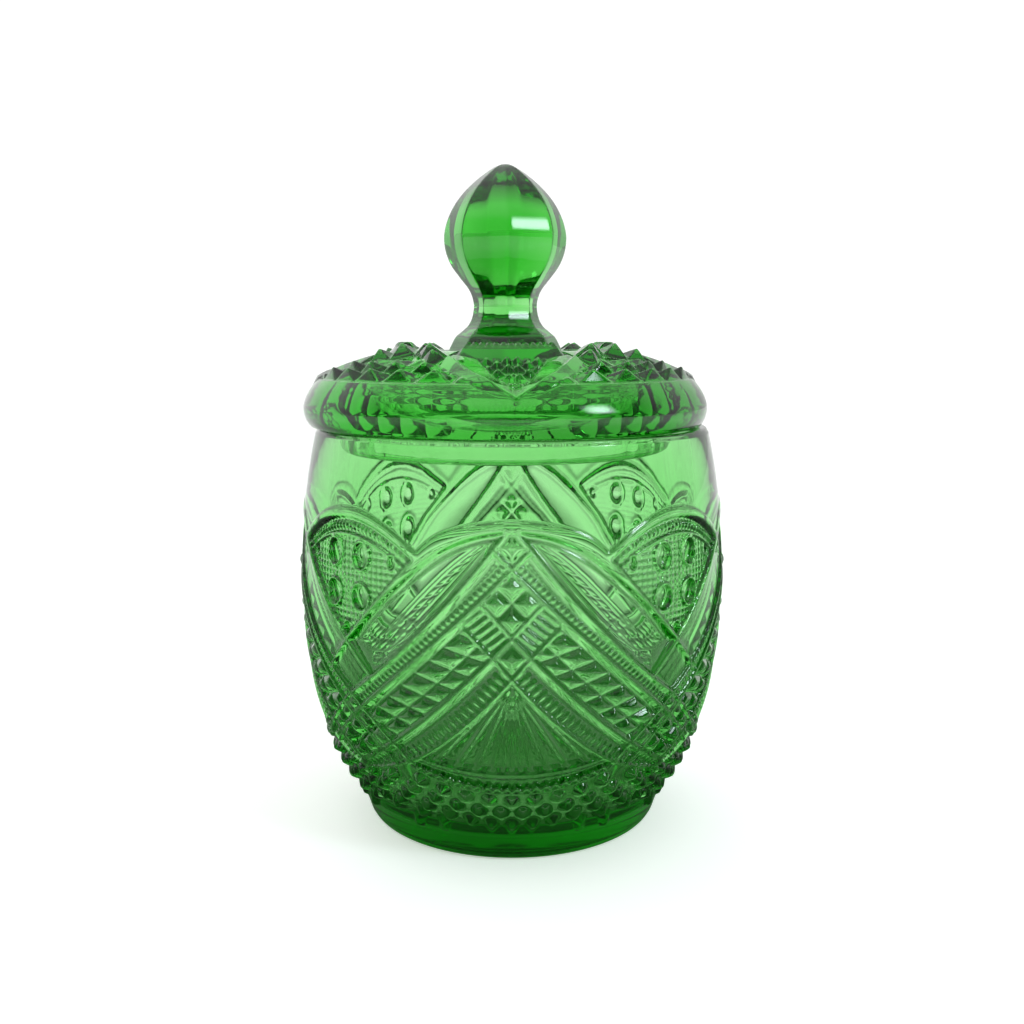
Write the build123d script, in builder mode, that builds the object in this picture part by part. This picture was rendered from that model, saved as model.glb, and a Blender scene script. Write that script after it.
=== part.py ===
from build123d import *

import os
from math import cos, radians, sin

# A covered candy jar in pressed green glass: a barrel-shaped jar standing on a low foot, and a
# loose domed lid whose eight-sided finial is pressed in one piece with it.
# Millimetres, +Z up. The origin is the centre of the plane that the foot rests on, and +Y points
# away from the jar's front, so the front arch of the pattern is centred on -Y.

# ---- driving dimensions ------------------------------------------------------------------

JAR_HEIGHT = 108.5          # foot plane to the flat rim that carries the lid
BELLY_RADIUS = 58.0         # plain glass at the widest level
BELLY_HEIGHT = 68.5
RIM_RADIUS = 53.4           # outside of the rim, where the lid's band starts
WALL = 4.5                  # glass thickness at the rim
BELLY_WALL = 6.4            # the wall thickens towards the belly
FLOOR = 9.0                 # glass thickness over the foot

FOOT_RADIUS = 41.0
FOOT_HEIGHT = 6.0
FOOT_TOP_RADIUS = 42.4      # the foot's side leans outwards
FOOT_EDGE = 3.0             # rounding where the foot meets the table
SHOULDER_HEIGHT = 11.5      # the barrel starts here, above the foot
SHOULDER_RADIUS = 46.9
RECESS_RADIUS = 33.0        # the underside is hollowed a little, leaving a ring to stand on
RECESS_DEPTH = 1.2
CAVITY_FOOT_RADIUS = 40.5   # the inside wall comes in to this before it bends into the floor
CAVITY_FOOT_HEIGHT = 15.0
FLOOR_RADIUS = 32.5         # flat part of the inside floor

ARCH_APEX = 91.6            # centre line of the raised arch ribs
ARCH_SHOULDER = (19.0, 82.2)
ARCH_LEG = (28.5, 71.4)
ARCH_END = (43.0, 53.8)
RIB_WIDTH = 2.4
RIB_PROUD = 0.8             # how far a rib stands out of the barrel
RIB_START = 30.0            # ribs are drawn out from here, well inside the hollow
ARCHES = 4

NAIL_RADIUS = 2.5           # round-headed studs below the arches
NAIL_SINK = 1.6             # depth of a stud's centre below the barrel's side
NAIL_STEP = 6.6             # degrees between the studs of a row
NAIL_TOP_ROW = 19.2         # height of the top row under the middle of an arch
NAIL_ROW_DROP = 4.0
NAIL_BEND = 0.0062          # a row rises by this times its angle squared, away from the middle
NAIL_ROWS = 3
NAIL_ROW_HALF = 5           # studs on each side of the middle one in the top row

LID_TURN = 3.0              # degrees; the loose lid has been set down slightly turned
LID_SHIFT = -1.8            # and a little off centre, along X, within the flange's play
LID_EDGE_RADIUS = 53.0      # bottom edge of the lid's rolled band
BAND_RADIUS = 54.8
BAND_HEIGHT = 113.8         # level of the band's widest point
BAND_TOP = (50.4, 121.2)
DOME_MIDDLE = (37.5, 127.0)
DOME_TOP = (15.0, 130.4)
FLANGE_RADIUS = 45.8        # ring below the lid that drops inside the mouth
FLANGE_WALL = 4.0
FLANGE_DEPTH = 7.0
VAULT_TOP = 123.4           # top of the hollow under the lid
VAULT_MIDDLE = (29.5, 119.2)
VAULT_FOOT = 109.5          # where the hollow runs into the flange

FACETS = 8
FINIAL_TIP = 177.8
FINIAL_SLOPE = (1, -0.35)   # the outline leaves the tip and meets the lid at this slope
FINIAL_OUTLINE = (          # radius over the vertical edges and height, from tip to root
    (8.2, 173.1),
    (13.7, 166.9),
    (16.5, 158.2),
    (14.5, 151.0),
    (9.9, 144.8),
    (8.6, 140.3),
    (10.5, 135.2),
    (15.0, 130.4),
)
FINIAL_ROOT = 127.5         # the finial's blend runs into the dome down to here

OVERRUN = 5.0               # how far a cutting or trimming shape passes the glass

# ---- derived dimensions ------------------------------------------------------------------

MOUTH_RADIUS = RIM_RADIUS - WALL
CAVITY_BELLY = BELLY_RADIUS - BELLY_WALL
FINIAL_RADIUS = max(radius for radius, height in FINIAL_OUTLINE)
FINIAL_FOOT = FINIAL_OUTLINE[-1][0]
APOTHEM = cos(radians(180 / FACETS))        # centre to flat, for a unit radius over the edges


def facing(angle):
    """Vertical plane through the axis whose normal points at angle, measured from -Y."""
    across = (cos(radians(angle)), sin(radians(angle)), 0)
    outward = (sin(radians(angle)), -cos(radians(angle)), 0)
    return Plane(origin=(0, 0, 0), x_dir=across, z_dir=outward)


def barrel_outline(proud):
    """Half outline of the solid barrel, standing proud of the plain glass by the given amount."""
    with BuildLine() as outline:
        side = ThreePointArc(
            (RIM_RADIUS + proud, JAR_HEIGHT),
            (BELLY_RADIUS + proud, BELLY_HEIGHT),
            (SHOULDER_RADIUS + proud, SHOULDER_HEIGHT),
        )
        Polyline(
            side @ 1,
            (FOOT_TOP_RADIUS, FOOT_HEIGHT),
            (FOOT_RADIUS, 0),
            (0, 0),
            (0, JAR_HEIGHT),
            side @ 0,
        )
    return outline.line


def side_radius(height):
    """Radius of the barrel's side at a height below its widest level."""
    drop = BELLY_HEIGHT - height
    full_drop = BELLY_HEIGHT - SHOULDER_HEIGHT
    return BELLY_RADIUS - (BELLY_RADIUS - SHOULDER_RADIUS) * (drop / full_drop) ** 2


def studs(row):
    """Centres of one row of studs, which bows up from the middle of each arch to its ends."""
    count = 2 * NAIL_ROW_HALF + 1 + row
    centres = []
    for arch in range(ARCHES):
        for index in range(count):
            offset = (index - (count - 1) / 2) * NAIL_STEP
            height = NAIL_TOP_ROW - NAIL_ROW_DROP * row + NAIL_BEND * offset**2
            radius = side_radius(height) - NAIL_SINK
            angle = radians(offset + arch * 360 / ARCHES)
            centres.append((radius * sin(angle), -radius * cos(angle), height))
    return centres


# ---- relief: arch ribs -------------------------------------------------------------------

with BuildPart() as arches:
    for index in range(ARCHES):
        with BuildSketch(facing(index * 360 / ARCHES).offset(RIB_START)):
            with BuildLine():
                Spline(
                    (-ARCH_END[0], ARCH_END[1]),
                    (-ARCH_LEG[0], ARCH_LEG[1]),
                    (-ARCH_SHOULDER[0], ARCH_SHOULDER[1]),
                    (0, ARCH_APEX),
                    ARCH_SHOULDER,
                    ARCH_LEG,
                    ARCH_END,
                )
            trace(line_width=RIB_WIDTH)
        extrude(amount=BELLY_RADIUS + OVERRUN - RIB_START)
    with BuildSketch(Plane.XZ):
        add(barrel_outline(RIB_PROUD))
        make_face()
    revolve(axis=Axis.Z, mode=Mode.INTERSECT)

# ---- jar ---------------------------------------------------------------------------------

with BuildPart() as jar:
    with BuildSketch(Plane.XZ):
        add(barrel_outline(0))
        make_face()
    revolve(axis=Axis.Z)
    fillet(jar.edges().group_by(Axis.Z)[0], FOOT_EDGE)
    for row in range(NAIL_ROWS):
        with Locations(studs(row)):
            Sphere(NAIL_RADIUS)
    add(arches.part)
    # The inside is smooth: it widens a little below the mouth, then closes in to the floor.
    with BuildSketch(Plane.XZ):
        with BuildLine():
            inside = ThreePointArc(
                (MOUTH_RADIUS, JAR_HEIGHT),
                (CAVITY_BELLY, BELLY_HEIGHT),
                (CAVITY_FOOT_RADIUS, CAVITY_FOOT_HEIGHT),
            )
            floor_bend = TangentArc(inside @ 1, (FLOOR_RADIUS, FLOOR), tangent=inside % 1)
            Polyline(
                floor_bend @ 1,
                (0, FLOOR),
                (0, JAR_HEIGHT + OVERRUN),
                (MOUTH_RADIUS, JAR_HEIGHT + OVERRUN),
                inside @ 0,
            )
        make_face()
    revolve(axis=Axis.Z, mode=Mode.SUBTRACT)
    with BuildSketch(Plane.XY):
        Circle(RECESS_RADIUS)
    extrude(amount=RECESS_DEPTH, mode=Mode.SUBTRACT)

# ---- finial ------------------------------------------------------------------------------

# Each pair of opposite facets is one outline run straight through; together they leave an
# eight-sided body whose vertical edges follow the outline.
with BuildPart() as finial:
    for index in range(FACETS // 2):
        with BuildSketch(facing(LID_TURN + (index + 0.5) * 360 / FACETS)):
            with BuildLine():
                half = Spline(
                    (0, FINIAL_TIP),
                    *[(radius * APOTHEM, height) for radius, height in FINIAL_OUTLINE],
                    tangents=(FINIAL_SLOPE, FINIAL_SLOPE),
                )
                Polyline(
                    half @ 1,
                    (FINIAL_FOOT * APOTHEM, FINIAL_ROOT),
                    (0, FINIAL_ROOT),
                )
                mirror(about=Plane.YZ)
            make_face()
        extrude(
            amount=FINIAL_RADIUS + OVERRUN,
            both=True,
            mode=Mode.ADD if index == 0 else Mode.INTERSECT,
        )

# ---- lid ---------------------------------------------------------------------------------

with BuildPart() as lid_form:
    with BuildSketch(Plane.XZ):
        with BuildLine():
            band = ThreePointArc((LID_EDGE_RADIUS, JAR_HEIGHT), (BAND_RADIUS, BAND_HEIGHT), BAND_TOP)
            dome = ThreePointArc(band @ 1, DOME_MIDDLE, DOME_TOP)
            flange_bottom = JAR_HEIGHT - FLANGE_DEPTH
            Polyline(
                dome @ 1,
                (0, DOME_TOP[1]),
                (0, VAULT_TOP),
            )
            vault = ThreePointArc(
                (0, VAULT_TOP),
                VAULT_MIDDLE,
                (FLANGE_RADIUS - FLANGE_WALL, VAULT_FOOT),
            )
            Polyline(
                vault @ 1,
                (FLANGE_RADIUS - FLANGE_WALL, flange_bottom),
                (FLANGE_RADIUS, flange_bottom),
                (FLANGE_RADIUS, JAR_HEIGHT),
                band @ 0,
            )
        make_face()
    revolve(axis=Axis.Z)
    add(finial.part)

# The lid as it was set down on the rim.
with BuildPart() as lid:
    with Locations((LID_SHIFT, 0, 0)):
        add(lid_form.part)

# ---- output ------------------------------------------------------------------------------

jar.part.label = "jar"
lid.part.label = "lid"

os.makedirs("parts", exist_ok=True)
export_step(jar.part, "parts/jar.step")
export_step(lid.part, "parts/lid.step")
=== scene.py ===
import math

import bpy
import numpy as np
from mathutils import Matrix, Vector


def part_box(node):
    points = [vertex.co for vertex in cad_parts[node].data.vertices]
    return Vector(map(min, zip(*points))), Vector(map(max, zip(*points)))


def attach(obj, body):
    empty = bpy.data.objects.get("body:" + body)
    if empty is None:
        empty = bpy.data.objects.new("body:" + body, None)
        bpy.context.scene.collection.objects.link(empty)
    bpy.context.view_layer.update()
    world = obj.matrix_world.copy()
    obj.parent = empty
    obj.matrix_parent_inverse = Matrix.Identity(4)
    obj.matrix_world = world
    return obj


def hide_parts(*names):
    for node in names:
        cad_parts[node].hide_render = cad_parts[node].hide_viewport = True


# A covered candy jar in pressed green glass: the jar and its loose lid.
# Each piece is one closed skin made of rings round the upright axis, with the pressed pattern as
# real relief. Shapes are worked out in millimetres above the table and in degrees from the jar's
# front (-Y), and become metres when a mesh is made.

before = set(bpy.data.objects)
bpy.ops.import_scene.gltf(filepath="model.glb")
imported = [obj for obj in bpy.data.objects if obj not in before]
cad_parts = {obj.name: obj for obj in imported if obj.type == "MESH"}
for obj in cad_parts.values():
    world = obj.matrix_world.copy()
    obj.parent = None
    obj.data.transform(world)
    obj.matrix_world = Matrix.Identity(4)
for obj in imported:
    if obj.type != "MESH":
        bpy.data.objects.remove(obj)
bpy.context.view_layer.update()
jar_low, jar_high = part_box("jar")
lid_low, lid_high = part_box("lid")

MM = 0.001

# ---------------------------------------------------------------- driving sizes, millimetres
RIM_Z = (jar_high.z - jar_low.z) / MM  # the jar's top, where the lid rests
FLANGE_END = (lid_low.z - jar_low.z) / MM  # lower edge of the lid's locating flange
BELLY_RADIUS = (jar_high.x - jar_low.x) / MM / 2
BELLY_Z = 68.5  # level of the widest plain glass
BARREL_ARC = 169.9  # radius of the barrel's side curve
WAIST = 1.2  # the side is drawn in by this above the foot,
WAIST_TOP = 23.0  # starting here
WAIST_FULL = 15.0  # and fully here
MM_PER_DEGREE = 0.99  # along the belly

SEAT_GAP = 0.12  # air between the lid's seat and the jar's rim
LID_TURN = math.radians(3.0)

# fineness of the meshes
JAR_COLUMNS = 1344
LID_COLUMNS = 1152
INNER_SHARE = 4  # outer columns to one inner column
ROW_STEP = 0.27


# ---------------------------------------------------------------- shape helpers
def ease(a, b, x):
    """0 on a's side of the span from a to b, 1 on b's side, smooth between."""
    t = np.clip((x - a) / (b - a), 0, 1)
    return t * t * (3 - 2 * t)


def tooth(x):
    """0 at whole numbers, 1 half way between them, straight sides."""
    return 1 - np.abs(2 * (x - np.floor(x)) - 1)


def bar(d, half):
    """Rounded bar: 1 on its centre line, 0 from half its width outwards."""
    return np.clip(1 - (d / half) ** 2, 0, 1)


def bowl(d):
    """Round profile: 1 in the middle, 0 where d reaches 1."""
    return np.sqrt(np.clip(1 - d**2, 0, 1))


def domed(x):
    """Turns a four-sided point of height 0 to 1 into a rounded one with a sharp foot."""
    return x * (2 - x)


def share(x, low, high):
    """Where x lies from low (0) to high (1)."""
    span = np.asarray(high - low, float)
    return (x - low) / np.where(np.abs(span) < 1e-6, 1e-6, span)


def inside(t):
    return (t > 0) & (t < 1)


def bowed(line, t):
    """Height of a line given as (height in an arch's middle, rise for each degree squared)."""
    height, bend = line
    return height + bend * t**2


def barrel(z):
    """Radius of the barrel's plain side at height z."""
    return BELLY_RADIUS - BARREL_ARC + np.sqrt(BARREL_ARC**2 - (z - BELLY_Z) ** 2)


def side(z):
    """The barrel's side, drawn in a little more just above the foot."""
    return barrel(z) - WAIST * ease(WAIST_TOP, WAIST_FULL, z)


# ---------------------------------------------------------------- the jar's pressed pattern
# Four arches stand round the jar. Two legs cross in the middle of each arch and meet the legs of
# its neighbours between the arches, so one eighth of the jar and its mirror image make it all.
# t is the angle in degrees from the nearest arch's middle, never negative.
VALLEY = -1.5  # ground of the pattern
SLOPE_SHARE = 0.67  # across a leg, from height difference to distance
ALONG_T, ALONG_Z = 0.64, 0.77  # a leg's direction

# the four long ridges of a leg: height over the arch's middle, slope and bend for each degree
LEG_LINES = (
    (89.8, -1.3725, 0.00833),
    (79.3, -1.0415, 0.00327),
    (63.5, -1.137, 0.0068),
    (53.2, -1.205, 0.0124),
)
LEG_TURNS_AT = 45.0
LEG_TAIL_SLOPE = -0.85
LEG_EDGE = 0.5  # a leg's pattern runs on by this over its outer ridges
RIDGE_HALF, CROSSING_HALF = 0.72, 0.6
FACE_WIDTH = 1.8  # plain slanting face under a ridge
FACE_SINK = 0.2  # its foot lies this far below the ground
LEG_RAISE = 0.45  # the legs stand higher by this below their tops,
LEG_RAISE_FROM, LEG_RAISE_FULL = 78, 66  # between these levels

CHANNEL_FLOOR = -1.25
CHANNEL_LEAN = 0.5  # its lower side stands higher by this
BEAD_STEP = 1.5
BEAD_INSET = 1.55  # from the channel's lower ridge
BEAD_TALL = 1.0
BEAD_HALF = 0.8  # across the channel
BEAD_LONG = 0.46  # half a bead's length, in steps

TOOTH_GROUND = -1.55
TOOTH_FOOT = 0.65  # the ledge the teeth stand on
TOOTH_TALL = 0.55
TOOTH_STEP = 2.0
NOTCH_TALL = 1.1
NOTCH_STEP = 1.9

POINT_TALL = 1.55
POINT_TOP, POINT_FOOT = 2.6, 0.5  # the rows start and end this far from their two ridges
POINT_STEP = 4.86
POINT_LEAN = 0.313
POINT_PHASE = 52.8
POINT_SPLIT = 0.62  # where the strip's upper row of points ends

# heights of the points where two strips cross: in an arch's middle, and between arches
MIDDLE_TOP, MIDDLE_FOUR, MIDDLE_LOW = 1.8, 2.3, 2.3
MIDDLE_TOP_HALF = 4.4  # degrees
MIDDLE_HALF = 11.5
SIDE_TOP, SIDE_FOUR, SIDE_LOW = 1.7, 2.4, 1.3

RIB_TOP = (89.0, -0.0125)
RIB_LEG, RIB_LEG_SLOPE = 104.0, -1.01
RIB_PROUD, NEXT_RIB_PROUD = 0.35, 0.15
RIB_HALF, RIB_SWELL, RIB_TAPER = 1.5, 0.15, 0.8  # half width, wider then narrower down the legs
RIB_LEAN = 0.3  # on its legs a rib is this much narrower across than upright
NEXT_RIB_HALF, NEXT_RIB_SLOPE_SHARE = 0.85, 0.7
TRENCH_DEPTH, TRENCH_HALF = 0.5, 0.8
TRENCH_OFF = 0.7  # from the rib's edge to the trench's middle
TRENCH_END = 42  # degrees


def leg_line(k, t):
    """Height of one of the four long ridges of an arch's leg."""
    height, slope, bend = LEG_LINES[k]
    near = np.minimum(t, LEG_TURNS_AT)
    tail = np.maximum(t - LEG_TURNS_AT, 0)
    return height + slope * near + bend * near * np.abs(near) + LEG_TAIL_SLOPE * tail


def rib_line(t):
    """Height of the plain rib over an arch: a round top that runs into straight legs."""
    return -np.logaddexp(-bowed(RIB_TOP, t), -(RIB_LEG + RIB_LEG_SLOPE * t))


def channel(z, strip, width, along):
    """Hollow channel with a row of beads near its upper ridge."""
    off = (strip * width - BEAD_INSET) / BEAD_HALF
    run = (along / BEAD_STEP - np.round(along / BEAD_STEP)) / BEAD_LONG
    beads = np.sqrt(np.clip(1 - off**2 - run**2, 0, 1))
    return CHANNEL_FLOOR + np.maximum(CHANNEL_LEAN * (1 - strip), BEAD_TALL * beads)


def point_rows(t, z, high, low):
    """Two rows of rounded four-sided points between two ridges."""
    middle = high + POINT_SPLIT * (low - high)
    upper = share(z, middle, high - POINT_TOP)
    lower = share(z, low + POINT_FOOT, middle)
    across = np.clip(1 - np.abs(2 * np.where(z > middle, upper, lower) - 1), 0, 1)
    cross = tooth((z - POINT_LEAN * t - POINT_PHASE) / POINT_STEP + 0.5)
    return VALLEY + POINT_TALL * domed(np.minimum(across, cross))


def middle_crossing(h, t, z, strips, crossed):
    """Where the two legs of one arch cross: single points, a stack of four and notched bands."""
    on = [inside(s) for s in strips]
    over = [inside(s) for s in crossed]
    top = np.minimum(tooth(strips[0]), tooth(crossed[0]))
    four = np.minimum(tooth(2 * strips[1]), tooth(2 * crossed[1]))
    low = np.minimum(tooth(strips[2]), tooth(crossed[2]))
    along_other = -ALONG_T * t * MM_PER_DEGREE - ALONG_Z * z
    notch = np.minimum(tooth(along_other / NOTCH_STEP), bar(crossed[2] - 0.5, 0.5))
    h = np.where(on[0] & over[0] & (t < MIDDLE_TOP_HALF), VALLEY + MIDDLE_TOP * domed(top), h)
    h = np.where(on[1] & over[1], VALLEY + MIDDLE_FOUR * domed(four), h)
    h = np.where(on[1] & over[2], NOTCH_TALL * (notch - 1), h)
    return np.where(on[2] & over[2], VALLEY + MIDDLE_LOW * domed(low), h)


def side_crossing(h, strips, crossed):
    """Where a leg crosses one of the next arch."""
    on = [inside(s) for s in strips]
    over = [inside(s) for s in crossed]
    top = np.minimum(tooth(strips[0]), tooth(crossed[0]))
    flank = np.minimum(tooth(2 * strips[1]), tooth(crossed[0]))
    four = np.minimum(tooth(2 * strips[1]), tooth(2 * crossed[1]))
    low = np.minimum(tooth(strips[2]), tooth(crossed[2]))
    h = np.where(on[0] & over[0], VALLEY + SIDE_TOP * domed(top), h)
    h = np.where(on[1] & over[0], VALLEY + SIDE_TOP * domed(flank), h)
    h = np.where(on[1] & over[1], VALLEY + SIDE_FOUR * domed(four), h)
    return np.where(on[2] & (over[1] | over[2]), VALLEY + SIDE_LOW * low, h)


def leg_ridges(t, z, own, other, centre):
    """The long ridges of a leg and those of the leg that crosses it, 0 to 1."""
    ridge = np.maximum.reduce([bar((z - line) * SLOPE_SHARE, RIDGE_HALF) for line in own])
    crossing = [bar((z - line) * SLOPE_SHARE, CROSSING_HALF) for line in other]
    if centre:
        low = (z < own[1]) & (t < MIDDLE_HALF)
        kept = [
            crossing[1] * (z > own[1]) * (z < own[0]),
            crossing[2] * low,
            crossing[3] * low,
        ]
    else:
        kept = [line * (z < own[0]) for line in crossing]
    return np.maximum.reduce([ridge] + kept)


def leg_pattern(t, z, own, other, centre):
    """Relief of one leg. own and other hold the heights of its ridges and of the crossing leg's."""
    strips = [share(z, own[k + 1], own[k]) for k in range(3)]
    crossed = [share(z, other[k + 1], other[k]) for k in range(3)]
    along = ALONG_T * t * MM_PER_DEGREE - ALONG_Z * z
    h = np.full_like(z, VALLEY)
    # upper strip: a beaded channel
    width = np.maximum((own[0] - own[1]) * SLOPE_SHARE, 0.5)
    h = np.where(inside(strips[0]), channel(z, strips[0], width, along), h)
    # middle strip: two rows of points
    h = np.where((z < own[1]) & (z > own[2]), point_rows(t, z, own[1], own[2]), h)
    # lower strip: a groove, then teeth
    teeth = TOOTH_GROUND + TOOTH_FOOT * ease(0.8, 0.35, strips[2])
    teeth = teeth + TOOTH_TALL * tooth(along / TOOTH_STEP) * ease(0.62, 0.4, strips[2])
    h = np.where(inside(strips[2]), teeth, h)
    if centre:
        h = middle_crossing(h, t, z, strips, crossed)
    else:
        h = side_crossing(h, strips, crossed)
    # below each of the three upper ridges a plain slanting face runs down to the ground
    for line in own[:3]:
        fall = np.clip(1 - (line - z) * SLOPE_SHARE / FACE_WIDTH, 0, 1) * (z <= line)
        face = VALLEY - FACE_SINK + (FACE_SINK - VALLEY) * fall
        h = np.where(fall > 0, np.maximum(face, h * (1 - fall)), h)
    h = h * (1 - np.sqrt(leg_ridges(t, z, own, other, centre)))
    return h + LEG_RAISE * ease(LEG_RAISE_FROM, LEG_RAISE_FULL, z)


# the fan, and the bands below it from the top down
FAN_APEX = 51.5
FAN_HALF = 30.0  # degrees
FAN_MM_PER_DEGREE = 0.96
FLUTE_ANGLE = 5.9  # degrees, the fine flutes in the middle of a fan
WIDE_FLUTE_ANGLE = 10.5  # and the wide ones beside them
FLUTE_CREST = -0.7
FLUTE_DEPTH = 1.2
FLUTE_LIP = 0.1  # rise at the flutes' ends, over the sill
FLUTE_FROM, FLUTE_FULL = 2, 13  # from the fan's apex
SILL_TOP = (28.3, 0.0043)
SILL_GROOVE = (27.35, 0.0046)
SILL_LOW = (26.0, 0.0054)
LEDGE = (22.5, 0.0067)
LEDGE_END = 0.6  # below the ledge's line
SILL_HALF = 28.5  # degrees; further out the bands end at the legs
BAND_FACE = -0.05
GROOVE_DEPTH = 0.7
GROOVE_HALF = 0.32
DOT_STEP = 0.9  # degrees
LEDGE_FACE = -0.75
LEDGE_CREST, LEDGE_HALF = 1.6, 0.5
ZIGZAG_STEP = 2.585  # degrees
ZIGZAG_FOOT, ZIGZAG_SWING = 0.85, 1.15  # above the ledge's line
ZIGZAG_CREST, ZIGZAG_HALF = 1.95, 0.55
ZIGZAG_SLOPE_SHARE = 0.72


def fan_pattern(t, z):
    """The fluted fan under the crossing legs, its banded sill and a zigzag ridge over a ledge."""
    x = t * FAN_MM_PER_DEGREE
    away = np.hypot(x, FAN_APEX - z)
    angle = np.degrees(np.arctan2(x, FAN_APEX - z))
    fine = np.minimum(angle, 2 * FLUTE_ANGLE) / FLUTE_ANGLE
    wide = np.maximum(angle - 2 * FLUTE_ANGLE, 0) / WIDE_FLUTE_ANGLE
    flute = np.abs(np.sin(math.pi * (fine + wide)))
    sill = bowed(SILL_TOP, t)
    end = ease(0.0, 2.2, z - sill)
    deep = ease(FLUTE_FROM, FLUTE_FULL, away)
    h = FLUTE_CREST - FLUTE_DEPTH * flute * deep * end + FLUTE_LIP * (1 - end)
    # two smooth bands with a dotted line between
    dots = 0.55 + 0.45 * tooth(t / DOT_STEP)
    groove = bar(z - bowed(SILL_GROOVE, t), GROOVE_HALF) * dots
    h = np.where(z < sill, BAND_FACE - GROOVE_DEPTH * groove, h)
    h = np.where(z < bowed(SILL_LOW, t), VALLEY, h)
    # zigzag
    ledge = bowed(LEDGE, t)
    zigzag = ledge + ZIGZAG_FOOT + ZIGZAG_SWING * tooth(t / ZIGZAG_STEP)
    h = np.where((z > ledge) & (z < zigzag), LEDGE_FACE, h)
    crest = bar((z - zigzag) * ZIGZAG_SLOPE_SHARE, ZIGZAG_HALF)
    h = np.maximum(h, VALLEY + ZIGZAG_CREST * crest)
    h = np.maximum(h, VALLEY + LEDGE_CREST * bar(z - ledge, LEDGE_HALF))
    return np.where(z < ledge - LEDGE_END, VALLEY, h)


NAIL_STEP = 6.6  # degrees
NAIL_ROWS = 5
NAIL_TOP_ROW = (19.2, 0.0062)
NAIL_ROW_STEP = 4.0
NAIL_RADIUS = 2.25
NAIL_ROUND, NAIL_POINT = 0.4, 0.8  # shares of a round head and of a point in a nail's height
NAIL_TOP = 0.1
NAIL_LOWEST = 9.9
NAIL_BED_FROM, NAIL_BED_FULL = 8.4, 10.4
NAIL_LAST = 6.5  # steps from an arch's middle
NAIL_CLEAR = 1.4  # least distance of a nail's middle from a leg
NAIL_MM_PER_DEGREE = 0.87


def nails(t, z):
    """Rows of hobnails below the arches, 0 to 1.2; those that would touch a leg are left out."""
    best = np.zeros_like(z)
    for row in range(NAIL_ROWS):
        shift = 0.5 * (row % 2)
        steps = np.round(t / NAIL_STEP - shift) + shift
        at = np.clip(steps, None, NAIL_LAST) * NAIL_STEP
        centre = bowed(NAIL_TOP_ROW, at) - NAIL_ROW_STEP * row
        bound = leg_line(3, np.maximum(at, SILL_HALF)) - NAIL_CLEAR
        kept = (centre > NAIL_LOWEST) & (centre < bound)
        d = np.hypot((t - at) * NAIL_MM_PER_DEGREE, z - centre) / NAIL_RADIUS
        height = bowl(d) * NAIL_ROUND + np.clip(1 - d, 0, 1) * NAIL_POINT
        best = np.maximum(best, np.where(kept, height, 0))
    return best


SHIELD_HEAD = (91.8, -0.0205)
SHIELD_HEAD_TWIST = 0.00009  # lifts the head's ends, for each degree cubed
SHIELD_RIM = 3.0  # width of its plain edge
RIM_FOOT, RIM_TALL = -0.25, 0.6
RIM_CREST = 1.35  # from its outer edge
ROPE_FOOT = (84.9, -0.0185)
ROPE_GROUND = -1.2
ROPE_TALL = 0.95
ROPE_HALF = 1.25
ROPE_RAISE = 0.2  # the rope lies this far above the middle of its band
ROPE_STEP = 1.42  # degrees
CORD_TALL, CORD_HALF = 1.1, 0.6  # plain cord under the rope
SHIELD_GROUND = -1.15
SHIELD_BEAD_STEP = 1.6
SHIELD_BEAD_TALL = 0.42
SHIELD_BEAD_REACH = 0.18  # a bead's radius squared, in steps
SHIELD_MM_PER_DEGREE = 0.98
# degrees off the shield's centre line, height, half width and half height
THUMBPRINTS = (
    (5.1, 80.0, 2.5, 3.2),
    (14.8, 79.4, 1.1, 1.7),
    (5.1, 69.9, 2.6, 3.1),
    (0.0, 61.5, 1.3, 1.6),
)
PRINT_EDGE = -0.6
PRINT_DEPTH = 1.7
PRINT_RIM = 1.22  # outside of the raised rim, in radii
PRINT_RIM_FACE = -0.1


def shield_edge(off):
    """Height of a shield's round head, off degrees from its centre line."""
    return bowed(SHIELD_HEAD, off) + SHIELD_HEAD_TWIST * off**3


def shield_pattern(t, z):
    """The round-headed shield between two arches: rope edge, beaded ground and thumbprints."""
    off = LEG_TURNS_AT - t
    outer = shield_edge(off)
    inner = outer - SHIELD_RIM
    rope_foot = bowed(ROPE_FOOT, off)
    rope_middle = (inner + rope_foot) / 2 + ROPE_RAISE
    strand = tooth(off / ROPE_STEP) - ((z - rope_middle) / ROPE_HALF) ** 2
    h = ROPE_GROUND + ROPE_TALL * np.sqrt(np.clip(strand, 0, 1))
    across = off * SHIELD_MM_PER_DEGREE / SHIELD_BEAD_STEP
    up = (z - 60) / SHIELD_BEAD_STEP
    reach = (across - np.round(across)) ** 2 + (up - np.round(up)) ** 2
    beads = SHIELD_BEAD_TALL * np.sqrt(np.clip(1 - reach / SHIELD_BEAD_REACH, 0, 1))
    h = np.where(z < rope_foot - CORD_HALF, SHIELD_GROUND + beads, h)
    h = np.maximum(h, ROPE_GROUND + CORD_TALL * bar(z - rope_foot, CORD_HALF))
    for place, height, wide, tall in THUMBPRINTS:
        d = np.hypot((off - place) * SHIELD_MM_PER_DEGREE / wide, (z - height) / tall)
        h = np.where(d < PRINT_RIM, PRINT_RIM_FACE, h)
        h = np.where(d < 1, PRINT_EDGE - PRINT_DEPTH * bowl(d), h)
    crest = np.sqrt(bar(z - (outer - RIM_CREST), RIM_CREST))
    return np.where(z > inner, RIM_FOOT + RIM_TALL * crest, h)


LEAF_END = 37.0  # degrees; beyond it the leaf gives way to the next arch's rib
LEAF_EDGE, LEAF_DEPTH = -0.35, 0.95
LEAF_STOP = -0.55  # flat ground under the next arch's rib
FOOT_TOP = 8.0  # no relief at or below this level


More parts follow.
